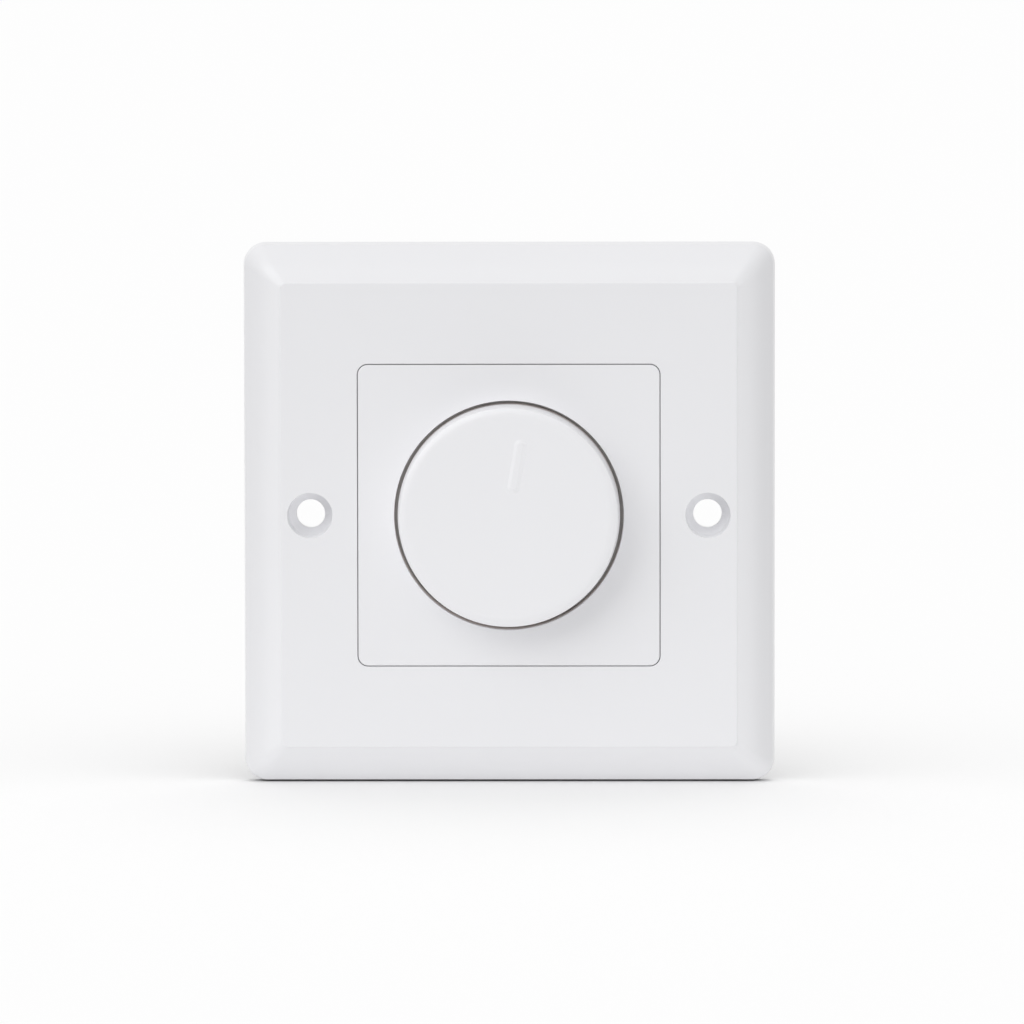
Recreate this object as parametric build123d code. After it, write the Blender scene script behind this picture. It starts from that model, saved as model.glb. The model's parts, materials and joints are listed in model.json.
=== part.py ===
from build123d import *
import os
from math import asin, cos, degrees, radians, sin

# Flush wall regulator for a fan: a dished face plate with a square centre insert, a round knob
# on a potentiometer with switch, and the control circuit in a tub behind a heat sink plate.
# X is to the right, Y runs into the wall and Z is up. The wall surface is y = 0, and the
# origin lies midway between the two fixing holes. All sizes are in millimetres.

# Face plate
plate_width = 80.9
plate_height = 82.2
plate_depth = 9.6
plate_side = 3.7
plate_draft = 0.3
plate_corner = 3.4
plate_front_wall = 2.4
plate_side_wall = 2.0
bevel_run = 5.7
bevel_bulge = 0.7
bevel_corner = 1.0
step_rise = 0.2
step_slope = 45.0
step_radius = 0.35
shoulder_radius = 0.8
rib_thickness = 1.2
rib_depth = 1.8
rib_spacing = 22.0

# Fixing holes
fixing_spacing = 60.3
fixing_hole = 4.35
fixing_mouth = 6.9
fixing_seat = 6.5
fixing_recess = 3.2
fixing_land = 1.7
fixing_boss = 9.6

# Knob
knob_diameter = 33.7
knob_draft = 0.3
knob_side = 4.7
knob_gap = 0.55
knob_skirt = 4.2
knob_wall = 1.8
knob_face = 2.0
knob_edge_radius = 0.35
crown_run = 1.4
crown_rise = 0.5
knob_ribs = 6
knob_rib_thickness = 1.0
knob_rib_depth = 2.4
pointer_width = 1.9
pointer_length = 8.2
pointer_corner = 0.85
pointer_start = 3.8
pointer_relief = 0.2
pointer_slope = 70.0
pointer_angle = 9.5

# Centre insert, flush with the flat front of the plate
insert_margin = 5.45
insert_corner = 1.5
insert_thickness = 2.4
insert_gap = 0.12
insert_edge = 0.15
ledge_width = 1.6
ledge_thickness = 1.8
frame_wall = 2.0
well_wall = 1.2
well_gap = 0.3
hook_width = 7.0
hook_thickness = 1.2
hook_barb = 0.9
hook_height = 1.2
hook_room = 1.8
hook_fit = 0.15

# Heat sink plate
sink_thickness = 1.5
sink_corner = 3.0

# Potentiometer with rotary switch
bush_diameter = 7.0
bush_proud = 0.8
bush_fit = 0.05
shaft_diameter = 6.0
shaft_flat = 1.5
shaft_clearance = 0.05
shaft_end_gap = 0.3
pot_diameter = 16.8
pot_wall = 0.6
pot_floor = 1.0
pot_flange = 1.0
pot_travel = 300.0
lug_width = 2.6
lug_thickness = 1.0
lug_inset = 1.2
wafer_thickness = 1.2
tongue_width = 13.0
tongue_drop = 11.6
wiper_room = 1.0
wiper_sheet = 0.3
wiper_gap = 0.2
wiper_half_angle = 35.0
track_radius = 5.4
contact_width = 0.8
contact_length = 1.6
rotor_diameter = 12.4
rotor_thickness = 1.5
rotor_gap = 0.6
stop_width = 2.0
stop_reach = 0.9
stop_gap = 0.3
stop_slack = 0.6
switch_length = 8.0
switch_flat = 1.2
nut_across_flats = 10.0
nut_thickness = 2.0
washer_diameter = 11.4
washer_thickness = 0.5
washer_teeth = 8
washer_tooth = 1.2
terminal_pitch = 5.0
blade_width = 1.8
blade_thickness = 0.5
switch_pin_spacing = 8.0
switch_pin_height = 3.0

# Knob hub and its spring ring
hub_diameter = 9.6
hub_gap = 0.4
hub_slot = 0.8
bore_depth_gap = 0.2
ring_thickness = 0.7
ring_width = 1.6
ring_inset = 0.8
ring_groove = 0.3
ring_half_angle = 155.0

# Rear housing and its screws
housing_width = 47.0
housing_height = 49.0
housing_depth = 28.0
housing_wall = 1.8
housing_corner = 3.0
flange_thickness = 1.6
flange_lip = 1.5
screw_offset = 4.0
screw_margin = 3.5
screw_spacing = 36.0
screw_diameter = 2.9
screw_fit = 0.05
screw_clearance = 0.2
screw_head = 5.4
screw_head_height = 1.4
screw_end_gap = 0.4
screw_head_round = 0.45
recess_width = 0.6
recess_depth = 0.7
pillar_diameter = 6.4
pillar_bite = 0.5
vent_width = 2.0
vent_length = 13.0
vent_pitch = 4.6
vents_per_side = 6

# Circuit board
board_gap = 2.2
board_thickness = 1.6
board_fit = 0.4
post_diameter = 5.4
post_inset = 1.0
post_drop = 6.0
lead_diameter = 0.8
lead_fit = 0.15
lead_stub = 1.2
edge_margin = 1.2
component_gap = 1.2
board_ledge = 1.1
component_corner = 0.6
component_round = 0.3

# Triac
triac_width = 10.0
triac_body_height = 9.2
triac_tab_height = 6.2
triac_thickness = 4.4
triac_tab_thickness = 1.3
triac_hole = 3.6
triac_hole_drop = 2.8
triac_pitch = 2.54
triac_lead_drop = 3.0
triac_screw_diameter = 3.0
triac_screw_head = 5.5
triac_screw_head_height = 1.5

# Choke
choke_outer = 13.0
choke_inner = 6.4
choke_height = 5.4
choke_lift = 1.0
choke_turns = 15
choke_spread = 300.0
choke_wire = 0.7
choke_wire_fit = 0.05

# Capacitors
film_length = 13.0
film_width = 6.0
film_height = 11.0
film_pitch = 10.0
timing_length = 7.2
timing_width = 2.8
timing_height = 7.0
timing_pitch = 5.0

# Resistors and trigger diode, which stand on the board with one lead bent over
resistor_diameter = 2.4
resistor_length = 6.4
resistor_row = 3.8
resistor_count = 2
diac_diameter = 1.9
diac_length = 4.0
bent_lead_reach = 2.8

# Fuse
fuse_length = 20.0
fuse_diameter = 5.2
fuse_cap_length = 5.0
fuse_cap_wall = 0.3
fuse_glass_wall = 0.6
fuse_fit = 0.04
clip_sheet = 0.4
clip_width = 3.6
clip_half_angle = 125.0
clip_lift = 0.8

# Trimmer for the lowest speed
trimmer_width = 6.6
trimmer_height = 7.2
trimmer_thickness = 3.2
trimmer_recess = 1.2
trimmer_rotor_diameter = 5.0
trimmer_rotor_thickness = 1.4
trimmer_rotor_gap = 0.3
trimmer_stem = 1.9
trimmer_stem_clearance = 0.05
trimmer_stem_length = 1.4
trimmer_lift = 0.1
trimmer_slot_width = 0.7
trimmer_slot_depth = 0.6
trimmer_pin_pitch = 2.5
trimmer_pin_rise = 1.8
trimmer_access = 5.0

# Terminal block
poles = 2
pole_pitch = 6.4
block_end = 0.8
block_height = 9.6
block_proud = 0.5
block_fit = 0.2
wire_hole = 3.4
wire_land = 2.4
cage_width = 4.6
cage_length = 6.0
cage_depth = 6.2
cage_wall = 0.8
cage_fit = 0.1
clamp_screw = 3.0
clamp_screw_head = 4.0
clamp_head_height = 1.6
clamp_bore_gap = 0.3

# Depth of each face, worked out from the flat front backwards
front = -plate_depth
hole_front = front + fixing_recess + (fixing_seat - fixing_hole) / 2
insert_back = front + insert_thickness
ledge_back = insert_back + ledge_thickness
sink_front = ledge_back + hook_room
sink_back = sink_front + sink_thickness
flange_back = sink_back + flange_thickness
housing_back = sink_back + housing_depth
housing_floor = housing_back - housing_wall
washer_front = sink_front - washer_thickness
nut_front = washer_front - nut_thickness
bush_front = nut_front - bush_proud
pot_front = sink_back + pot_flange
wafer_back = pot_front + wafer_thickness
rotor_front = wafer_back + wiper_room
rotor_back = rotor_front + rotor_thickness
pot_back = rotor_back + rotor_gap + pot_floor
switch_back = pot_back + switch_length
board_front = switch_back + board_gap
board_back = board_front + board_thickness
lead_end = board_back + lead_stub
block_back = housing_back + block_proud
knob_edge = front - knob_side
knob_front = knob_edge - crown_rise
knob_inner = knob_front + knob_face
hub_back = bush_front - hub_gap
bore_front = knob_inner + bore_depth_gap
shaft_front = bore_front + shaft_end_gap

# Widths and places worked out from the sizes above
opening_diameter = knob_diameter + 2 * knob_gap
insert_size = opening_diameter + 2 * insert_margin
plate_opening = insert_size + 2 * insert_gap
ledge_opening = plate_opening - 2 * ledge_width
frame_size = plate_opening + 2 * frame_wall
screw_rows = housing_height + 2 * screw_offset
sink_width = housing_width + 2 * flange_lip
sink_height = screw_rows + 2 * screw_margin
inner_width = housing_width - 2 * housing_wall
inner_height = housing_height - 2 * housing_wall
board_width = inner_width - 2 * board_fit
board_height = inner_height - 2 * board_fit
board_right = board_width / 2 - edge_margin
board_top = board_height / 2 - edge_margin
lug_height = pot_diameter / 2 - lug_inset
housing_screws_at = [
    (x * screw_spacing / 2, z * screw_rows / 2) for x in (-1, 1) for z in (-1, 1)
]
pot_pins_at = [(i * terminal_pitch, -tongue_drop + blade_thickness) for i in (-1, 0, 1)]
switch_pins_at = [(i * switch_pin_spacing / 2, switch_pin_height) for i in (-1, 1)]
triac_x = board_right - triac_width / 2
triac_z = -triac_body_height / 2
triac_leads_z = triac_z - triac_body_height / 2 - triac_lead_drop
triac_hole_z = triac_z + triac_body_height / 2 + triac_tab_height - triac_hole_drop
triac_leads_at = [(triac_x + i * triac_pitch, triac_leads_z) for i in (-1, 0, 1)]
choke_x = choke_wire + choke_outer / 2 - board_right
choke_z = board_top - choke_wire - choke_outer / 2
choke_wire_radius = choke_outer / 2 + choke_wire_fit + choke_wire / 2
choke_angles = [(i / (choke_turns - 1) - 0.5) * choke_spread for i in range(choke_turns)]
choke_leads_at = [
    (choke_x + choke_wire_radius * sin(radians(a)), choke_z + choke_wire_radius * cos(radians(a)))
    for a in (choke_angles[0], choke_angles[-1])
]
film_x = board_right - film_length / 2
film_z = board_top - film_width / 2
film_leads_at = [(film_x + i * film_pitch / 2, film_z) for i in (-1, 1)]
timing_x = film_x - film_length / 2 - component_gap - timing_length / 2
timing_z = board_top - timing_width / 2
timing_leads_at = [(timing_x + i * timing_pitch / 2, timing_z) for i in (-1, 1)]
fuse_x = fuse_diameter / 2 + clip_sheet - board_right
fuse_z = choke_z - choke_outer / 2 - choke_wire - lead_diameter - fuse_length / 2
fuse_y = board_front - clip_lift - clip_sheet - fuse_diameter / 2
clips_at = [(fuse_x, fuse_z + i * (fuse_length - fuse_cap_length) / 2) for i in (-1, 1)]
corner_post_x = board_width / 2 - post_inset - post_diameter / 2
corner_post_z = post_inset + post_diameter / 2 - board_height / 2
inner_post_x = fuse_x + fuse_diameter / 2 + clip_sheet + component_gap + screw_head / 2
posts_at = [(corner_post_x, corner_post_z), (inner_post_x, -post_drop)]
block_width = poles * pole_pitch + 2 * block_end
block_bottom = -housing_height / 2
block_z = block_bottom + block_height / 2
poles_at = [(i - (poles - 1) / 2) * pole_pitch for i in range(poles)]
cage_front = board_back + block_end
cage_back = cage_front + cage_depth
cage_z = block_bottom + wire_land + cage_fit + cage_length / 2
wire_y = (cage_front + cage_back) / 2
trimmer_x = block_width / 2 + lead_diameter + trimmer_pin_pitch
trimmer_z = edge_margin + trimmer_height / 2 - board_height / 2
trimmer_front = board_front - trimmer_thickness
trimmer_pins_at = [
    (trimmer_x + i * trimmer_pin_pitch, trimmer_z + trimmer_pin_rise) for i in (-1, 1)
]
resistor_x = -block_width / 2 - lead_diameter - bent_lead_reach
resistors_at = [
    (resistor_x, trimmer_z + (i - (resistor_count - 1) / 2) * resistor_row)
    for i in range(resistor_count)
]
resistor_leads_at = [(x + i * bent_lead_reach, z) for x, z in resistors_at for i in (0, 1)]
diac_x = timing_x - timing_length / 2 - component_gap - diac_diameter / 2
diac_z = board_top - diac_diameter / 2
diac_leads_at = [(diac_x, diac_z - i * bent_lead_reach) for i in (0, 1)]

# How near to a depth an edge has to lie to be found there
depth_tolerance = 1e-4


def panel(sketch, start, end):
    """A solid with the sketch's outline in X and Z, between two depths given in either order."""
    near, far = sorted((start, end))
    return extrude(Plane.XZ.offset(-far) * sketch, amount=far - near)


def rod(diameter, start, end, x=0, z=0):
    """A round bar along Y."""
    return panel(Pos(x, z) * Circle(diameter / 2), start, end)


def tube(outer, inner, start, end, x=0, z=0):
    """A round tube along Y."""
    return panel(Pos(x, z) * (Circle(outer / 2) - Circle(inner / 2)), start, end)


def block(width, height, start, end, x=0, z=0):
    """A square-edged bar along Y."""
    return panel(Pos(x, z) * Rectangle(width, height), start, end)


def cushion(width, height, corner, start, end, x=0, z=0):
    """A bar along Y with rounded corners in its outline."""
    return panel(Pos(x, z) * RectangleRounded(width, height, corner), start, end)


def sector(inner, outer, half_angle):
    """A piece of a ring, as far either side of straight up as half_angle."""
    inner_arc = CenterArc((0, 0), inner, 90 - half_angle, 2 * half_angle)
    outer_arc = CenterArc((0, 0), outer, 90 - half_angle, 2 * half_angle)
    sides = [Line(inner_arc @ end, outer_arc @ end) for end in (0, 1)]
    return make_face(Curve() + [inner_arc, outer_arc] + sides)


def turned(part):
    """A part of the knob and shaft, turned to where the pointer stands."""
    return Rot(0, pointer_angle, 0) * part


def lead(x, z, start):
    """A round lead from y = start through the circuit board."""
    return rod(lead_diameter, start, lead_end, x, z)


def screw(x, z, seat, end, diameter, head, head_height):
    """A cross-recessed pan head screw: its head sits on the seat, its shank runs on to end."""
    way = 1 if end > seat else -1
    top = seat - way * head_height
    cap = fillet(edges_at(rod(head, seat, top, x, z), top), screw_head_round)
    floor = top + way * recess_depth
    for width, height in ((head / 2, recess_width), (recess_width, head / 2)):
        cap -= block(width, height, top, floor, x, z)
    return cap + rod(diameter, seat, end, x, z)


def dished(width, height, depth, side):
    """The plate's outer form: drafted side, convex bevel and flat front, with corners that sharpen."""
    rise = SagittaArc((plate_draft, side), (bevel_run, depth), bevel_bulge)
    shoulder_corner = plate_corner - plate_draft
    levels = []
    for share in (0, 0.5, 1):
        at = rise @ share
        corner = shoulder_corner + (bevel_corner - shoulder_corner) * share
        outline = RectangleRounded(width - 2 * at.X, height - 2 * at.X, corner)
        levels.append(Plane.XZ.offset(at.Y) * outline)
    foot = Plane.XZ * RectangleRounded(width, height, plate_corner)
    return loft([foot, levels[0]], ruled=True) + loft(levels)


def raised(sketch, base, height, slope):
    """A low form on a surface that faces the front, with sides that lean in by the slope."""
    return extrude(Plane.XZ.offset(-base) * sketch, amount=height, taper=slope)


def edges_at(part, y):
    """The edges that lie flat at this depth."""
    return part.edges().filter_by_position(Axis.Y, y - depth_tolerance, y + depth_tolerance)


def face_plate():
    step = front + step_rise
    outer = dished(plate_width, plate_height, -step, plate_side)
    outer = fillet(edges_at(outer, -plate_side), shoulder_radius)
    flat = RectangleRounded(plate_width - 2 * bevel_run, plate_height - 2 * bevel_run, bevel_corner)
    outer += raised(flat, step, step_rise, step_slope)
    for level in (step, front):
        outer = fillet(edges_at(outer, level), step_radius)
    hollow = dished(
        plate_width - 2 * plate_side_wall,
        plate_height - 2 * plate_side_wall,
        plate_depth - plate_front_wall,
        plate_side - plate_front_wall,
    )
    plate = outer - hollow
    wall_back = front + plate_front_wall
    rib_back = wall_back + rib_depth
    stiffening = cushion(frame_size, frame_size, insert_corner + frame_wall, wall_back, ledge_back)
    for x in (-1, 0, 1):
        stiffening += block(rib_thickness, plate_height, wall_back, rib_back, x * rib_spacing)
    stiffening += block(plate_width, rib_thickness, wall_back, rib_back)
    for x, z in housing_screws_at:
        stiffening += rod(pillar_diameter, wall_back, sink_front, x, z)
    boss_back = hole_front + fixing_land
    for x in (-1, 1):
        stiffening += rod(fixing_boss, wall_back, boss_back, x * fixing_spacing / 2)
    plate += stiffening & outer
    plate -= cushion(plate_opening, plate_opening, insert_corner + insert_gap, front, insert_back)
    rim = edges_at(plate, front)
    for axis in (Axis.X, Axis.Z):
        rim = rim.filter_by_position(axis, -plate_opening / 2 - insert_gap, plate_opening / 2 + insert_gap)
    plate = fillet(rim, insert_edge)
    plate -= cushion(ledge_opening, ledge_opening, insert_corner, insert_back, sink_front)
    for x, z in housing_screws_at:
        pilot = screw_diameter + 2 * screw_fit
        plate -= rod(pilot, wall_back - pillar_bite, sink_front, x, z)
    for x in (-1, 1):
        plate -= countersunk_hole(x * fixing_spacing / 2, boss_back)
    return plate


def countersunk_hole(x, back):
    """The drafted recess, the seat and the straight hole that take a countersunk fixing screw."""
    half_section = Polyline(
        (0, front),
        (fixing_mouth / 2, front),
        (fixing_seat / 2, front + fixing_recess),
        (fixing_hole / 2, hole_front),
        (fixing_hole / 2, back),
        (0, back),
        close=True,
    )
    return Pos(x, 0, 0) * revolve(make_face(half_section), Axis.Y)


def centre_insert():
    insert = cushion(insert_size, insert_size, insert_corner, front, insert_back)
    well_back = sink_front - well_gap
    insert += rod(opening_diameter + 2 * well_wall, insert_back, well_back)
    insert -= rod(opening_diameter, front, well_back)
    insert = fillet(edges_at(insert, front), insert_edge)
    leg_face = ledge_opening / 2 - hook_fit
    hook_back = ledge_back + hook_fit + hook_height
    leg = block(hook_width, hook_thickness, insert_back, hook_back, 0, leg_face - hook_thickness / 2)
    slope = Polyline(
        (leg_face, ledge_back + hook_fit),
        (leg_face + hook_barb, ledge_back + hook_fit),
        (leg_face, hook_back),
        close=True,
    )
    side_on = Plane(origin=(0, 0, 0), x_dir=(0, 0, 1), z_dir=(-1, 0, 0))
    barb = extrude(side_on * make_face(slope), amount=hook_width / 2, both=True)
    for quarter in range(4):
        insert += Rot(0, 90 * quarter, 0) * (leg + barb)
    return insert


def knob():
    radius = knob_diameter / 2
    edge_radius = radius - knob_draft
    skirt_back = front + knob_skirt
    crown_start = edge_radius - crown_run
    flank = Polyline((0, skirt_back), (radius, skirt_back), (radius, front), (edge_radius, knob_edge))
    crown = TangentArc((crown_start, knob_front), (edge_radius, knob_edge), tangent=(1, 0))
    top = Polyline((crown_start, knob_front), (0, knob_front), (0, skirt_back))
    section = make_face(Curve() + [flank, crown, top])
    rim = section.vertices().sort_by_distance((edge_radius, knob_edge, 0))[0]
    body = revolve(fillet(rim, knob_edge_radius), Axis.Y)
    inner_radius = edge_radius - knob_wall
    body -= rod(2 * inner_radius, knob_inner, skirt_back)
    rib_back = knob_inner + knob_rib_depth
    for i in range(knob_ribs):
        rib = block(knob_rib_thickness, inner_radius + knob_wall / 2, knob_inner, rib_back)
        rib = Pos(0, 0, (inner_radius + knob_wall / 2) / 2) * rib
        body += Rot(0, 360 / knob_ribs * i, 0) * rib
    body += rod(hub_diameter, knob_inner, hub_back)
    body -= panel(d_section(bush_fit), bore_front, hub_back)
    body -= block(hub_diameter, hub_slot, rib_back, hub_back)
    ring_back = hub_back - ring_inset
    groove = hub_diameter - 2 * ring_groove
    body -= tube(hub_diameter, groove, ring_back - ring_width, ring_back)
    reach = pointer_start + pointer_length / 2
    pointer = Pos(0, reach) * RectangleRounded(pointer_width, pointer_length, pointer_corner)
    body += raised(pointer, knob_front, pointer_relief, pointer_slope)
    return turned(body)


def d_section(clearance):
    """The shaft's round outline with one flat, grown by a clearance."""
    radius = shaft_diameter / 2 + clearance
    flat = shaft_diameter / 2 - shaft_flat + clearance
    keep = Pos(0, (flat - radius) / 2) * Rectangle(2 * radius, flat + radius)
    return Circle(radius) & keep


def knob_spring_ring():
    ring_back = hub_back - ring_inset
    inner = hub_diameter / 2 - ring_groove + bush_fit
    ring = sector(inner, inner + ring_thickness, ring_half_angle)
    return turned(panel(ring, ring_back - ring_width, ring_back))


def heat_sink_plate():
    plate = cushion(sink_width, sink_height, sink_corner, sink_front, sink_back)
    plate -= rod(bush_diameter + 2 * screw_clearance, sink_front, sink_back)
    slot = (lug_width + 2 * screw_clearance, lug_thickness + 2 * screw_clearance)
    plate -= block(*slot, sink_front, sink_back, 0, lug_height)
    for x, z in housing_screws_at:
        plate -= rod(screw_diameter + 2 * screw_clearance, sink_front, sink_back, x, z)
    plate -= rod(trimmer_access, sink_front, sink_back, trimmer_x, trimmer_z)
    tapped = triac_screw_diameter + 2 * screw_fit
    return plate - rod(tapped, sink_front, sink_back, triac_x, triac_hole_z)


def potentiometer_nut():
    hexagon = RegularPolygon(nut_across_flats / 2, 6, major_radius=False)
    hole = Circle(bush_diameter / 2 + bush_fit)
    return panel(hexagon - hole, nut_front, washer_front)


def potentiometer_washer():
    ring = Circle(washer_diameter / 2) - Circle(bush_diameter / 2 + bush_fit)
    notch = Rectangle(washer_tooth, washer_tooth)
    for i in range(washer_teeth):
        ring -= Rot(0, 0, 360 / washer_teeth * i) * Pos(0, washer_diameter / 2) * notch
    return panel(ring, washer_front, sink_front)


def potentiometer_bushing():
    bush = rod(pot_diameter, sink_back, pot_front)
    bush += rod(bush_diameter, bush_front, sink_back)
    bush += block(lug_width, lug_thickness, sink_front, sink_back, 0, lug_height)
    bore = shaft_diameter + 2 * shaft_clearance
    return bush - rod(bore, bush_front, pot_front)


def potentiometer_shaft():
    shaft = rod(shaft_diameter, hub_back + hub_gap / 2, rotor_front)
    shaft += panel(d_section(0), shaft_front, hub_back + hub_gap / 2)
    shaft += rod(rotor_diameter, rotor_front, rotor_back)
    rotor_radius = rotor_diameter / 2
    stop_centre = rotor_radius + stop_reach / 2 - stop_width / 4
    stop = block(stop_width, stop_reach + stop_width / 2, rotor_front, rotor_back, 0, stop_centre)
    return turned(shaft + stop)


def potentiometer_case():
    inner = pot_diameter - 2 * pot_wall
    case = rod(pot_diameter, pot_front, pot_back) - rod(inner, pot_front, pot_back - pot_floor)
    tongue_slot = tongue_width + 2 * bush_fit
    drop = tongue_drop + bush_fit
    case -= block(tongue_slot, drop, pot_front, wafer_back, 0, -drop / 2)
    stop_half_angle = degrees(asin(stop_width / 2 / (rotor_diameter / 2 + stop_gap)))
    half_angle = (360 - pot_travel) / 2 - stop_half_angle - stop_slack
    wall = sector(rotor_diameter / 2 + stop_gap, (inner + pot_wall) / 2, half_angle)
    return case + panel(Rot(0, 0, 180) * wall, rotor_front, pot_back - pot_floor)


def resistance_track():
    inner = pot_diameter / 2 - pot_wall - bush_fit
    wafer = Circle(inner) + Pos(0, -tongue_drop / 2) * Rectangle(tongue_width, tongue_drop)
    wafer -= Circle(shaft_diameter / 2 + stop_gap)
    return panel(wafer, pot_front, wafer_back)


def potentiometer_terminals():
    pins = Part()
    for x, z in pot_pins_at:
        foot_height = tongue_drop - pot_diameter / 2 - blade_thickness
        blade_z = -tongue_drop + foot_height / 2
        blade = block(blade_width, foot_height, wafer_back, wafer_back + blade_thickness, x, blade_z)
        pins += blade + lead(x, z, wafer_back)
    return pins


def potentiometer_wiper():
    hole = shaft_diameter / 2 + bush_fit
    sheet = sector(hole, rotor_diameter / 2, wiper_half_angle)
    wiper = panel(sheet, rotor_front - wiper_sheet, rotor_front)
    for x in (-1, 1):
        contact = block(contact_width, contact_length, wafer_back + wiper_gap, rotor_front - wiper_sheet)
        wiper += Pos(x * contact_width, 0, track_radius - contact_length / 2) * contact
    return turned(wiper)


def switch_case():
    case = rod(pot_diameter, pot_back, switch_back)
    keep = Rectangle(pot_diameter, pot_diameter - 2 * switch_flat)
    return case & panel(keep, pot_back, switch_back)


def switch_terminals():
    pins = Part()
    for x, z in switch_pins_at:
        blade = block(blade_width, blade_thickness, switch_back, board_front, x, z)
        pins += blade + lead(x, z, switch_back)
    return pins


def circuit_board():
    board = cushion(board_width, board_height, edge_margin, board_front, board_back)
    leads = pot_pins_at + switch_pins_at + triac_leads_at + choke_leads_at + film_leads_at
    leads += timing_leads_at + clips_at + trimmer_pins_at + resistor_leads_at + diac_leads_at
    leads += [(x, cage_z) for x in poles_at]
    for x, z in leads:
        board -= rod(lead_diameter + 2 * lead_fit, board_front, board_back, x, z)
    for x, z in posts_at:
        board -= rod(screw_diameter + 2 * screw_clearance, board_front, board_back, x, z)
    return board


def triac():
    full_height = triac_body_height + triac_tab_height
    tab_z = triac_z + triac_tab_height / 2
    tab_back = sink_back + triac_tab_thickness
    part = block(triac_width, full_height, sink_back, tab_back, triac_x, tab_z)
    part -= rod(triac_hole, sink_back, tab_back, triac_x, triac_hole_z)
    part += block(triac_width, triac_body_height, tab_back, sink_back + triac_thickness, triac_x, triac_z)
    lead_y = sink_back + triac_thickness - lead_diameter
    for x, z in triac_leads_at:
        leg_height = triac_lead_drop + lead_diameter / 2
        leg_z = z - lead_diameter / 2 + leg_height / 2
        part += block(lead_diameter, leg_height, lead_y - lead_diameter, lead_y, x, leg_z)
        part += lead(x, z, lead_y - lead_diameter)
    return part


def triac_screw():
    seat = sink_back + triac_tab_thickness
    sizes = (triac_screw_diameter, triac_screw_head, triac_screw_head_height)
    return screw(triac_x, triac_hole_z, seat, sink_front, *sizes)


def choke_core():
    back = board_front - choke_lift
    ring = tube(choke_outer, choke_inner, back - choke_height, back, choke_x, choke_z)
    return chamfer(ring.edges().filter_by(GeomType.CIRCLE), choke_wire)


def choke_winding():
    back = board_front - choke_lift
    middle = back - choke_height / 2
    radial = (choke_outer - choke_inner) / 2 + 2 * choke_wire_fit
    axial = choke_height + 2 * choke_wire_fit
    loop = RectangleRounded(radial + 2 * choke_wire, axial + 2 * choke_wire, choke_wire)
    loop -= Rectangle(radial, axial)
    turn = extrude(Pos((choke_outer + choke_inner) / 4, 0) * loop, amount=choke_wire / 2, both=True)
    turns = Part()
    for angle in choke_angles:
        turns += Pos(choke_x, middle, choke_z) * Rot(0, angle - 90, 0) * turn
    for x, z in choke_leads_at:
        turns += lead(x, z, middle)
    return turns


def box_capacitor(length, width, height, x, z, leads):
    """A moulded film capacitor that stands on the board."""
    top = board_front - height
    body = cushion(length, width, component_corner, top, board_front, x, z)
    body = fillet(edges_at(body, top), component_round)
    for lead_x, lead_z in leads:
        body += lead(lead_x, lead_z, board_front)
    return body


def suppression_capacitor():
    return box_capacitor(film_length, film_width, film_height, film_x, film_z, film_leads_at)


def timing_capacitor():
    return box_capacitor(timing_length, timing_width, timing_height, timing_x, timing_z, timing_leads_at)


def standing_part(diameter, length, leads):
    """A component that stands on the board over its first lead, with the other lead bent over."""
    (x, z), (far_x, far_z) = leads
    top = board_front - length
    body = rod(diameter, top, board_front, x, z)
    body = fillet(edges_at(body, top), component_round)
    bridge_top = top - 2 * lead_diameter
    body += lead(x, z, bridge_top)
    width = abs(far_x - x) + lead_diameter
    height = abs(far_z - z) + lead_diameter
    bridge_end = bridge_top + lead_diameter
    body += block(width, height, bridge_top, bridge_end, (x + far_x) / 2, (z + far_z) / 2)
    return body + lead(far_x, far_z, bridge_top)


def resistors():
    group = Part()
    for i in range(resistor_count):
        leads = resistor_leads_at[2 * i : 2 * i + 2]
        group += standing_part(resistor_diameter, resistor_length, leads)
    return group


def diac():
    return standing_part(diac_diameter, diac_length, diac_leads_at)


def upright(sketch, start, end):
    """A solid with an X-Y outline about the fuse's axis, between two heights in either order."""
    low, high = sorted((start, end))
    return extrude(Plane.XY.offset(low) * Pos(fuse_x, fuse_y) * sketch, amount=high - low)


def fuse_tube():
    outer = fuse_diameter / 2 - fuse_cap_wall - fuse_fit
    ring = Circle(outer) - Circle(outer - fuse_glass_wall)
    half = fuse_length / 2 - fuse_cap_wall
    return upright(ring, fuse_z - half, fuse_z + half)


def fuse_caps():
    caps = Part()
    for side in (-1, 1):
        end = fuse_z + side * fuse_length / 2
        mouth = end - side * fuse_cap_length
        floor = end - side * fuse_cap_wall
        bore = Circle(fuse_diameter / 2 - fuse_cap_wall)
        caps += upright(Circle(fuse_diameter / 2), end, mouth) - upright(bore, floor, mouth)
    return caps


def fuse_clips():
    clips = Part()
    inner = fuse_diameter / 2 + fuse_fit
    jaw = sector(inner, inner + clip_sheet, clip_half_angle)
    for x, z in clips_at:
        clip = upright(jaw, z - clip_width / 2, z + clip_width / 2)
        clip += block(clip_width, clip_width, fuse_y + inner + clip_sheet / 2, board_front, x, z)
        clips += clip + lead(x, z, board_front)
    return clips


def trimmer_base():
    outline = (trimmer_width, trimmer_height, component_corner)
    base = cushion(*outline, trimmer_front, board_front, trimmer_x, trimmer_z)
    recess = trimmer_rotor_diameter + 2 * trimmer_rotor_gap
    recess_back = trimmer_front + trimmer_recess
    base -= rod(recess, trimmer_front, recess_back, trimmer_x, trimmer_z)
    stem_hole = trimmer_stem + 2 * trimmer_stem_clearance
    base -= rod(stem_hole, recess_back, board_front, trimmer_x, trimmer_z)
    for x, z in trimmer_pins_at:
        base += lead(x, z, board_front)
    return base


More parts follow.
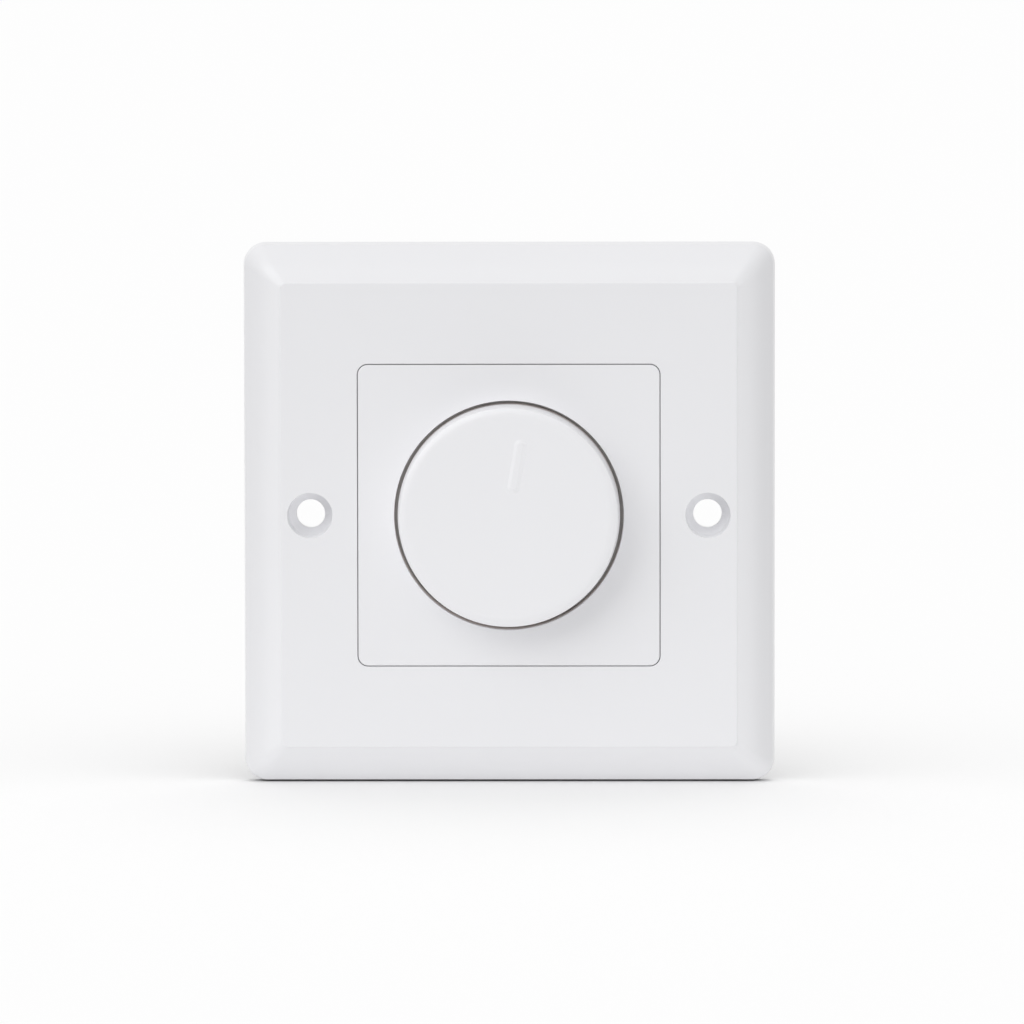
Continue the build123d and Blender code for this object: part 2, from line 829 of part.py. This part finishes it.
def trimmer_rotor():
    rotor_end = trimmer_front + trimmer_recess - trimmer_lift
    rotor_start = rotor_end - trimmer_rotor_thickness
    rotor = rod(trimmer_rotor_diameter, rotor_start, rotor_end, trimmer_x, trimmer_z)
    rotor += rod(trimmer_stem, rotor_end, rotor_end + trimmer_stem_length, trimmer_x, trimmer_z)
    slot_end = rotor_start + trimmer_slot_depth
    slot_length = trimmer_rotor_diameter - 2 * trimmer_slot_width
    rotor -= block(trimmer_slot_width, slot_length, rotor_start, slot_end, trimmer_x, trimmer_z)
    return rotor - block(slot_length, trimmer_slot_width, rotor_start, slot_end, trimmer_x, trimmer_z)


def terminal_block():
    body = block(block_width, block_height, board_back, block_back, 0, block_z)
    for x in poles_at:
        pocket = (cage_width + 2 * cage_fit, cage_length + 2 * cage_fit)
        body -= block(*pocket, board_back, cage_back + cage_fit, x, cage_z)
        bore = clamp_screw_head + 2 * clamp_bore_gap
        body -= rod(bore, cage_back + cage_fit, block_back, x, cage_z)
        mouth = Pos(x, wire_y, block_bottom) * Cylinder(
            wire_hole / 2, wire_land, align=(Align.CENTER, Align.CENTER, Align.MIN)
        )
        body -= mouth
    return body


def terminal_cages():
    cages = Part()
    for x in poles_at:
        cage = block(cage_width, cage_length, cage_front, cage_back, x, cage_z)
        inside = (cage_width - 2 * cage_wall, cage_length)
        cage -= block(*inside, cage_front + cage_wall, cage_back - cage_wall, x, cage_z)
        cage -= rod(clamp_screw + 2 * screw_fit, cage_back - cage_wall, cage_back, x, cage_z)
        cages += cage + rod(lead_diameter, board_front - lead_stub, cage_front, x, cage_z)
    return cages


def terminal_screws():
    group = Part()
    for x in poles_at:
        seat = block_back - recess_depth - clamp_head_height
        tip = wire_y + wire_hole / 2
        group += screw(x, cage_z, seat, tip, clamp_screw, clamp_screw_head, clamp_head_height)
    return group


def rear_housing():
    tub = cushion(housing_width, housing_height, housing_corner, sink_back, housing_back)
    tub = fillet(edges_at(tub, housing_back), housing_corner / 2)
    tub += cushion(sink_width, sink_height, sink_corner, sink_back, flange_back)
    inner_corner = housing_corner - housing_wall
    tub -= cushion(inner_width, inner_height, inner_corner, sink_back, housing_floor)
    for x, z in posts_at:
        tub += rod(post_diameter, board_back, housing_floor, x, z)
        pilot = screw_diameter + 2 * screw_fit
        tub -= rod(pilot, board_back, housing_floor - housing_wall, x, z)
    tub += block(board_width, board_ledge, board_back, housing_floor, 0, (inner_height - board_ledge) / 2)
    for x, z in housing_screws_at:
        tub -= rod(screw_diameter + 2 * screw_clearance, sink_back, flange_back, x, z)
    cut = (block_width + 2 * block_fit, block_height + block_fit)
    cut_z = block_bottom + cut[1] / 2
    tub -= block(*cut, board_back, housing_back, 0, cut_z)
    return tub - vents()


def vents():
    """Cooling slots through both side walls and the top wall."""
    middle = (flange_back + board_front) / 2
    slot = SlotOverall(vent_length, vent_width)
    slots = Part()
    for i in range(vents_per_side):
        across = (i - (vents_per_side - 1) / 2) * vent_pitch
        slots += extrude(Plane.YZ * Pos(middle, across) * slot, amount=housing_width / 2, both=True)
        upper = Plane.XY * Pos(across, middle) * Rot(0, 0, 90) * slot
        slots += extrude(upper, amount=housing_height / 2)
    return slots


def housing_screws():
    group = Part()
    tip = front + plate_front_wall - pillar_bite + screw_end_gap
    for x, z in housing_screws_at:
        group += screw(x, z, flange_back, tip, screw_diameter, screw_head, screw_head_height)
    return group


def board_screws():
    group = Part()
    for x, z in posts_at:
        tip = housing_floor - housing_wall - screw_end_gap
        group += screw(x, z, board_front, tip, screw_diameter, screw_head, screw_head_height)
    return group


nodes = [
    face_plate,
    centre_insert,
    knob,
    knob_spring_ring,
    heat_sink_plate,
    potentiometer_nut,
    potentiometer_washer,
    potentiometer_bushing,
    potentiometer_shaft,
    potentiometer_case,
    resistance_track,
    potentiometer_terminals,
    potentiometer_wiper,
    switch_case,
    switch_terminals,
    circuit_board,
    triac,
    triac_screw,
    choke_core,
    choke_winding,
    suppression_capacitor,
    timing_capacitor,
    resistors,
    diac,
    fuse_tube,
    fuse_caps,
    fuse_clips,
    trimmer_base,
    trimmer_rotor,
    terminal_block,
    terminal_cages,
    terminal_screws,
    rear_housing,
    housing_screws,
    board_screws,
]

os.makedirs("parts", exist_ok=True)
for node in nodes:
    export_step(node(), f"parts/{node.__name__}.step")
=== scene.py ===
import json
from math import cos, pi, radians, sin
from typing import NamedTuple

import bpy
from mathutils import Matrix, Vector


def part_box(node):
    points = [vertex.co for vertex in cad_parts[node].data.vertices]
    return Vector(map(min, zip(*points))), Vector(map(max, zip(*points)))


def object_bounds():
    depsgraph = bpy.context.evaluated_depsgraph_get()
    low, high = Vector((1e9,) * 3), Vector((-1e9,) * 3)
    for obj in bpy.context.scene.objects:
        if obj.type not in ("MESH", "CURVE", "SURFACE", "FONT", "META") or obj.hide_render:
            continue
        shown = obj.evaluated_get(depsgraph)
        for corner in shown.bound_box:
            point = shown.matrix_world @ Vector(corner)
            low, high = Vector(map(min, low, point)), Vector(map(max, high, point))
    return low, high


# A white fan speed regulator that stands on a pale studio floor.
# Lengths are in metres, angles in degrees and colours are linear.

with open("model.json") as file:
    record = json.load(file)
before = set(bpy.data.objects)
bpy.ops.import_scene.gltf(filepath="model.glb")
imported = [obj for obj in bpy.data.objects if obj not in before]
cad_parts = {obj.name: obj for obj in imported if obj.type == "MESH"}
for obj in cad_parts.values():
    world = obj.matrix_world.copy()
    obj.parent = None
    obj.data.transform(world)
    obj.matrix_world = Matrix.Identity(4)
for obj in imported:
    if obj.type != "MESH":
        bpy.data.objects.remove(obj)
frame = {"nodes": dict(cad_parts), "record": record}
cad_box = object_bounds()
nodes = frame["nodes"]
plate_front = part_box("face_plate")[0][1]
insert_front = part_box("centre_insert")[0][1]
insert_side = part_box("centre_insert")[1][0]


class Lamp(NamedTuple):
    """A soft distant lamp. Its level is what a white surface that faces it shows, where 1 is white."""
    level: float
    origin: tuple  # the direction that it shines from
    spread: float
    lights: str = "object"  # the group of pieces that it lights
    shaded: bool = True  # whether the object throws a shadow in its light
    mirrored: bool = False  # whether glossy surfaces show it


class GapPaintedShade(NamedTuple):
    """Painted shade in a gap between mouldings, round the knob's axis: its walls are painted darker down to
    its depth.
    """
    middle: float  # the distance of its middle line from the axis, across or up
    reach: float  # how far it goes to both sides of that line
    depth: float
    # the colour of the painted shade at the gap's depth
    colour: tuple


# Floor: white where it is seen, with a weaker bounce on the object that fades with the distance
floor_reach = 20.0
floor_colour = (0.985, 0.985, 0.985)
near_bounce = (0.47, 0.47, 0.47)
far_bounce = (0.24, 0.24, 0.24)
near_distance = 0.06
far_distance = 0.16

# Camera: a long lens, a little above the knob and to its right. The sensor is in millimetres.
image_pixels = 1024
sensor_width = 36.0
focal_pixels = 8463
view_azimuth = 0.66
view_elevation = 4.12
view_roll = -0.08
view_distance = 1.282
aim_right = 0.00048
aim_up = 0.00052
camera_reach = 4 * floor_reach

# Light: the floor holds no lamp back, so the two from below stand for light that it throws up
white = (1, 1, 1, 1)
sky_level = 0.605
seen_sky_level = 1.0
lamps = {
    "key": Lamp(0.32, (-0.59, -0.55, 0.61), 46.0, mirrored=True),
    "left": Lamp(0.13, (-0.85, -0.45, 0.15), 50.0, mirrored=True),
    "top": Lamp(0.11, (0.0, -0.6, 0.8), 50.0, mirrored=True),
    "right": Lamp(0.23, (0.85, -0.5, 0.05), 60.0, "outside", shaded=False, mirrored=True),
    "below": Lamp(0.25, (0.0, -0.35, -0.93), 60.0),
    "lift": Lamp(0.25, (0.0, -0.1, -0.99), 60.0, "outside", shaded=False),
    "back": Lamp(0.28, (0.0, 0.99, 0.1), 24.0),
    "floor_front": Lamp(0.211, (0.0, -0.5, 0.85), 60.0, "floor"),
    "floor_back": Lamp(0.248, (0.0, 0.5, 0.85), 60.0, "floor"),
}
outer_pieces = ("face_plate", "centre_insert", "knob", "rear_housing")

# Shade: a sheet just under the floor, from the front edge of the plate's side to the back
shade_front = -0.0037
shade_drop = 0.0002

# White mouldings: faint flow in the colour, a soft wave and a fine skin on the surface, and painted shade
# down the knob's well and the seam round the insert
white_dark = (0.772, 0.772, 0.790)
white_light = (0.784, 0.784, 0.803)
knob_lift = 1.022
white_index = 1.49
white_rough = (0.27, 0.36)
flow_size = 0.018
flow_stretch = (1, 1, 0.5)
wave_size = 0.006
wave_height = 3e-6
skin_size = 0.00022
skin_height = 5e-7
skin_detail = 2.0
# Painted shade: the knob's well is darkened to a warm grey down its depth
well_painted_shade = GapPaintedShade(middle=0.0, reach=0.020, depth=0.0035, colour=(0.73, 0.67, 0.645))
# Painted shade: the seam round the insert is darkened to grey down its depth
seam_painted_shade = GapPaintedShade(middle=insert_side, reach=0.001, depth=0.00025, colour=(0.43, 0.43, 0.44))

# Other plastics: the size of the colour's drift, the size and height of the grain, and roughness
plastic_mottle = 0.006
plastic_grain = 0.0004
fine_height = 3e-6
coarse_height = 8e-6
matt = (0.42, 0.58)
lacquered = (0.25, 0.36)
glassy = (0.2, 0.3)

# Metals: the same, and the stretch of a grain that is brushed across
metal_mottle = 0.002
metal_grain = 0.00025
metal_height = 1.5e-6
plated = (0.25, 0.4)
brushed = (0.30, 0.46)
enamelled = (0.18, 0.3)
polished = (0.15, 0.28)
even = (1, 1, 1)
across = (0.06, 1, 1)

# Glass: streaks along the upright tube of the fuse
glass_index = 1.5
glass_rough = (0.01, 0.05)
streak_size = 0.0008
streak_stretch = (1, 1, 0.1)


def new_shader(name, **values):
    """A material, its node tree and its shader, with plain values set on the shader's own sockets."""
    material = bpy.data.materials.new(name)
    material.use_nodes = True
    tree = material.node_tree
    shader = tree.nodes["Principled BSDF"]
    for socket, value in values.items():
        shader.inputs[socket.replace("_", " ")].default_value = value
    return material, tree, shader


def connect(tree, shader, **outputs):
    """Links outputs to the shader's sockets."""
    for socket, output in outputs.items():
        tree.links.new(output, shader.inputs[socket.replace("_", " ")])


def place_in(tree):
    """The place in the piece's own space."""
    return tree.nodes.new("ShaderNodeTexCoord").outputs["Object"]


def axes(tree, vector):
    """The three numbers of a vector."""
    parts = tree.nodes.new("ShaderNodeSeparateXYZ")
    tree.links.new(vector, parts.inputs["Vector"])
    return parts.outputs


def vector_maths(tree, operation, vector):
    """A node that works on one vector."""
    node = tree.nodes.new("ShaderNodeVectorMath")
    node.operation = operation
    tree.links.new(vector, node.inputs[0])
    return node


def maths(tree, operation, *values):
    """A number worked out from outputs and plain numbers."""
    node = tree.nodes.new("ShaderNodeMath")
    node.operation = operation
    for socket, value in zip(node.inputs, values):
        if isinstance(value, float):
            socket.default_value = value
        else:
            tree.links.new(value, socket)
    return node.outputs["Value"]


def ramp(tree, value, start=0.0, end=1.0, low=0.0, high=1.0):
    """A number that goes from low to high as a value goes from start to end."""
    spread = tree.nodes.new("ShaderNodeMapRange")
    spread.inputs["From Min"].default_value = start
    spread.inputs["From Max"].default_value = end
    spread.inputs["To Min"].default_value = low
    spread.inputs["To Max"].default_value = high
    tree.links.new(value, spread.inputs["Value"])
    return spread.outputs["Result"]


def roughness(tree, factor, limits):
    """A roughness between two limits."""
    low, high = limits
    return ramp(tree, factor, low=low, high=high)


def noise(tree, size, stretch=even, detail=3.0):
    """A noise in the piece's own space, with features of this size."""
    mapping = tree.nodes.new("ShaderNodeMapping")
    mapping.inputs["Scale"].default_value = stretch
    texture = tree.nodes.new("ShaderNodeTexNoise")
    texture.inputs["Scale"].default_value = 1 / size
    texture.inputs["Detail"].default_value = detail
    tree.links.new(place_in(tree), mapping.inputs["Vector"])
    tree.links.new(mapping.outputs["Vector"], texture.inputs["Vector"])
    return texture.outputs["Fac"]


def colour_mix(tree, factor, colour):
    """A node that brings in a colour as far as the factor says."""
    mix = tree.nodes.new("ShaderNodeMix")
    mix.data_type = "RGBA"
    mix.inputs["B"].default_value = (*colour, 1)
    tree.links.new(factor, mix.inputs["Factor"])
    return mix


def tint(tree, factor, dark, light):
    """A colour between two colours."""
    mix = colour_mix(tree, factor, light)
    mix.inputs["A"].default_value = (*dark, 1)
    return mix.outputs["Result"]


def overlay(tree, factor, under, colour):
    """A colour laid over another output."""
    mix = colour_mix(tree, factor, colour)
    tree.links.new(under, mix.inputs["A"])
    return mix.outputs["Result"]


def relief(tree, factor, height, under=None):
    """A bump of this height, on top of another one where it is given."""
    bump = tree.nodes.new("ShaderNodeBump")
    bump.inputs["Distance"].default_value = height
    tree.links.new(factor, bump.inputs["Height"])
    if under:
        tree.links.new(under, bump.inputs["Normal"])
    return bump.outputs["Normal"]


def painted_shade_share(tree, gap_shade):
    """The share of painted shade: zero on the faces in view, and one at a gap's depth below the insert's
    front.
    """
    place = place_in(tree)
    sideways = axes(tree, vector_maths(tree, "ABSOLUTE", place).outputs["Vector"])
    distance = maths(tree, "MAXIMUM", sideways["X"], sideways["Z"])
    within = maths(tree, "COMPARE", distance, gap_shade.middle, gap_shade.reach)
    down = ramp(tree, axes(tree, place)["Y"], insert_front, insert_front + gap_shade.depth)
    return maths(tree, "MULTIPLY", within, down)


def white_plastic(slot, gap_shades, lift=1.0):
    """Glossy white moulding with shade painted into its gaps, with its colours lifted by a factor."""
    material, tree, shader = new_shader(slot, IOR=white_index)
    flow = noise(tree, flow_size, flow_stretch)
    skin = noise(tree, skin_size, detail=skin_detail)
    wave = relief(tree, noise(tree, wave_size), wave_height)
    dark, light = ([lift * channel for channel in colour] for colour in (white_dark, white_light))
    colour = tint(tree, flow, dark, light)
    for gap_shade in gap_shades:
        # painted shade: the colour darkens down each gap
        colour = overlay(tree, painted_shade_share(tree, gap_shade), colour, gap_shade.colour)
    connect(
        tree,
        shader,
        Base_Color=colour,
        Roughness=roughness(tree, skin, white_rough),
        Normal=relief(tree, skin, skin_height, wave),
    )
    return material


def grained(slot, dark, light, mottle, rough, grain, height, stretch=even, **values):
    """A surface whose colour drifts over mottle, with a grain that roughens and lifts it."""
    material, tree, shader = new_shader(slot, **values)
    bumps = noise(tree, grain, stretch)
    connect(
        tree,
        shader,
        Base_Color=tint(tree, noise(tree, mottle, stretch), dark, light),
        Roughness=roughness(tree, bumps, rough),
        Normal=relief(tree, bumps, height),
    )
    return material


def plastic(slot, dark, light, rough=matt, height=fine_height):
    """Moulded or dipped plastic with a fine texture."""
    return grained(slot, dark, light, plastic_mottle, rough, plastic_grain, height)


def metal(slot, dark, light, rough=plated, stretch=even):
    """Plated or plain metal, with fine lines where its grain is stretched."""
    return grained(slot, dark, light, metal_mottle, rough, metal_grain, metal_height, stretch, Metallic=1.0)


def glass(slot, dark, light):
    """Clear glass with faint streaks."""
    material, tree, shader = new_shader(slot, Transmission_Weight=1.0, IOR=glass_index)
    streaks = noise(tree, streak_size, streak_stretch)
    connect(
        tree,
        shader,
        Base_Color=tint(tree, streaks, dark, light),
        Roughness=roughness(tree, streaks, glass_rough),
    )
    return material


# The finish of each material slot: how it is made, and with what
finishes = {
    # The white slots carry painted shade in the seam and the knob's well
    "front_white": (white_plastic, [seam_painted_shade]),
    "insert_white": (white_plastic, [seam_painted_shade, well_painted_shade]),
    "knob_white": (white_plastic, [well_painted_shade], knob_lift),
    "housing_black": (plastic, (0.016, 0.016, 0.018), (0.026, 0.026, 0.029), matt, coarse_height),
    "terminal_grey": (plastic, (0.30, 0.31, 0.32), (0.35, 0.36, 0.37)),
    "heat_sink": (metal, (0.41, 0.405, 0.40), (0.51, 0.505, 0.50), brushed, across),
    "plated_steel": (metal, (0.55, 0.55, 0.52), (0.68, 0.67, 0.63)),
    "tinned_contacts": (metal, (0.64, 0.64, 0.62), (0.76, 0.76, 0.74)),
    "brass": (metal, (0.60, 0.43, 0.17), (0.74, 0.55, 0.24)),
    "shaft_nylon": (plastic, (0.64, 0.62, 0.55), (0.70, 0.68, 0.61)),
    "phenolic_brown": (plastic, (0.17, 0.085, 0.035), (0.25, 0.13, 0.06)),
    "switch_brown": (plastic, (0.07, 0.04, 0.03), (0.10, 0.06, 0.045)),
    "board_tan": (plastic, (0.40, 0.24, 0.095), (0.49, 0.31, 0.13)),
    "epoxy_black": (plastic, (0.014, 0.014, 0.015), (0.022, 0.022, 0.024)),
    "iron_powder": (plastic, (0.36, 0.31, 0.05), (0.45, 0.39, 0.08)),
    "copper_wire": (metal, (0.50, 0.17, 0.06), (0.62, 0.24, 0.09), enamelled),
    "film_yellow": (plastic, (0.66, 0.44, 0.05), (0.74, 0.52, 0.08), lacquered),
    "film_red": (plastic, (0.36, 0.05, 0.03), (0.44, 0.07, 0.045), lacquered),
    "resistor_tan": (plastic, (0.54, 0.38, 0.22), (0.62, 0.46, 0.28), lacquered),
    "diac_blue": (plastic, (0.05, 0.12, 0.36), (0.08, 0.17, 0.44), glassy),
    "fuse_glass": (glass, (0.90, 0.94, 0.93), (0.97, 0.99, 0.98)),
    "fuse_caps": (metal, (0.66, 0.65, 0.61), (0.76, 0.75, 0.71), polished),
    "trimmer_blue": (plastic, (0.05, 0.14, 0.36), (0.08, 0.18, 0.43)),
    "trimmer_white": (plastic, (0.72, 0.72, 0.68), (0.78, 0.78, 0.74)),
}


def dress_nodes():
    """Gives each part the finish of its material slot."""
    materials = {slot: make(slot, *values) for slot, (make, *values) in finishes.items()}
    for part in frame["record"]["subparts"]:
        for place in nodes[part["node"]].material_slots:
            place.material = materials[part["material_slot"]]


def seen_rays(tree):
    """One for rays that see a surface directly, in a mirror or through glass, and zero for others."""
    rays = tree.nodes.new("ShaderNodeLightPath")
    seen = rays.outputs["Is Camera Ray"]
    for kind in ("Is Glossy Ray", "Is Transmission Ray"):
        seen = maths(tree, "MAXIMUM", seen, rays.outputs[kind])
    return seen


def level_sheet(name, low, high, level):
    """A level rectangle of the stage between two corners."""
    mesh = bpy.data.meshes.new(name)
    corners = [(low[0], low[1]), (high[0], low[1]), (high[0], high[1]), (low[0], high[1])]
    mesh.from_pydata([(x, y, level) for x, y in corners], [], [(0, 1, 2, 3)])
    sheet = bpy.data.objects.new(name, mesh)
    bpy.context.scene.collection.objects.link(sheet)
    return sheet


def make_floor():
    """A wide pale floor under the plate's lower edge."""
    floor = level_sheet("floor", (-floor_reach, -floor_reach), (floor_reach, floor_reach), cad_box[0][2])
    material, tree, shader = new_shader("floor", Roughness=1.0, Specular_IOR_Level=0.0)
    distance = vector_maths(tree, "LENGTH", place_in(tree)).outputs["Value"]
    bounce = tint(tree, ramp(tree, distance, near_distance, far_distance), near_bounce, far_bounce)
    connect(tree, shader, Base_Color=overlay(tree, seen_rays(tree), bounce, floor_colour))
    floor.data.materials.append(material)
    return floor


def make_shade():
    """A sheet that keeps the lamps below off the plate's underside, where it stands on the floor."""
    low, high = cad_box
    return level_sheet("shade", (low[0], shade_front), high[:2], low[2] - shade_drop)


def make_world():
    """An even studio room: white where it is seen, softer where it only lights."""
    world = bpy.data.worlds.new("studio")
    world.use_nodes = True
    bpy.context.scene.world = world
    tree = world.node_tree
    background = tree.nodes["Background"]
    background.inputs["Color"].default_value = white
    strength = ramp(tree, seen_rays(tree), low=sky_level, high=seen_sky_level)
    tree.links.new(strength, background.inputs["Strength"])


def gather(name, pieces):
    """A collection that only serves the lamps."""
    group = bpy.data.collections.new(name)
    for piece in pieces:
        group.objects.link(piece)
    return group


def make_lamp(name, lamp, lit, casters):
    """A lamp that lights one collection, with shadows from the casters alone."""
    light = bpy.data.lights.new(name, "SUN")
    light.energy = lamp.level * pi
    light.angle = radians(lamp.spread)
    light.cycles.use_multiple_importance_sampling = False
    holder = bpy.data.objects.new(name, light)
    holder.rotation_euler = Vector(lamp.origin).to_track_quat("Z", "Y").to_euler()
    holder.visible_glossy = lamp.mirrored
    bpy.context.scene.collection.objects.link(holder)
    holder.light_linking.receiver_collection = lit
    holder.light_linking.blocker_collection = casters


def make_lamps(floor, shade):
    """All lamps, with the pieces that each one lights. The shade works on every lamp."""
    lit = {
        "object": gather("whole_object", nodes.values()),
        "outside": gather("outer_pieces", [nodes[name] for name in outer_pieces]),
        "floor": gather("ground", [floor]),
    }
    all_casters = gather("all_casters", [*nodes.values(), shade])
    shade_alone = gather("shade_alone", [shade])
    for name, lamp in lamps.items():
        make_lamp(name, lamp, lit[lamp.lights], all_casters if lamp.shaded else shade_alone)


def make_camera():
    """The camera of the photograph, aimed beside the middle of the plate's front."""
    azimuth, elevation, roll = (radians(angle) for angle in (view_azimuth, view_elevation, view_roll))
    back = Vector((sin(azimuth) * cos(elevation), -cos(azimuth) * cos(elevation), sin(elevation)))
    level_right = Vector((cos(azimuth), sin(azimuth), 0))
    level_up = back.cross(level_right)
    right = cos(roll) * level_right + sin(roll) * level_up
    up = cos(roll) * level_up - sin(roll) * level_right
    place = Vector((0, plate_front, 0)) + aim_right * right + aim_up * up + view_distance * back
    camera = bpy.data.cameras.new("camera")
    camera.sensor_width = sensor_width
    camera.lens = focal_pixels * sensor_width / image_pixels
    camera.clip_end = camera_reach
    holder = bpy.data.objects.new("camera", camera)
    turn = Matrix((right, up, back)).transposed().to_4x4()
    holder.matrix_world = Matrix.Translation(place) @ turn
    bpy.context.scene.collection.objects.link(holder)
    bpy.context.scene.camera = holder


dress_nodes()
make_world()
make_lamps(make_floor(), make_shade())
make_camera()
bpy.context.scene.view_settings.view_transform = "Standard"
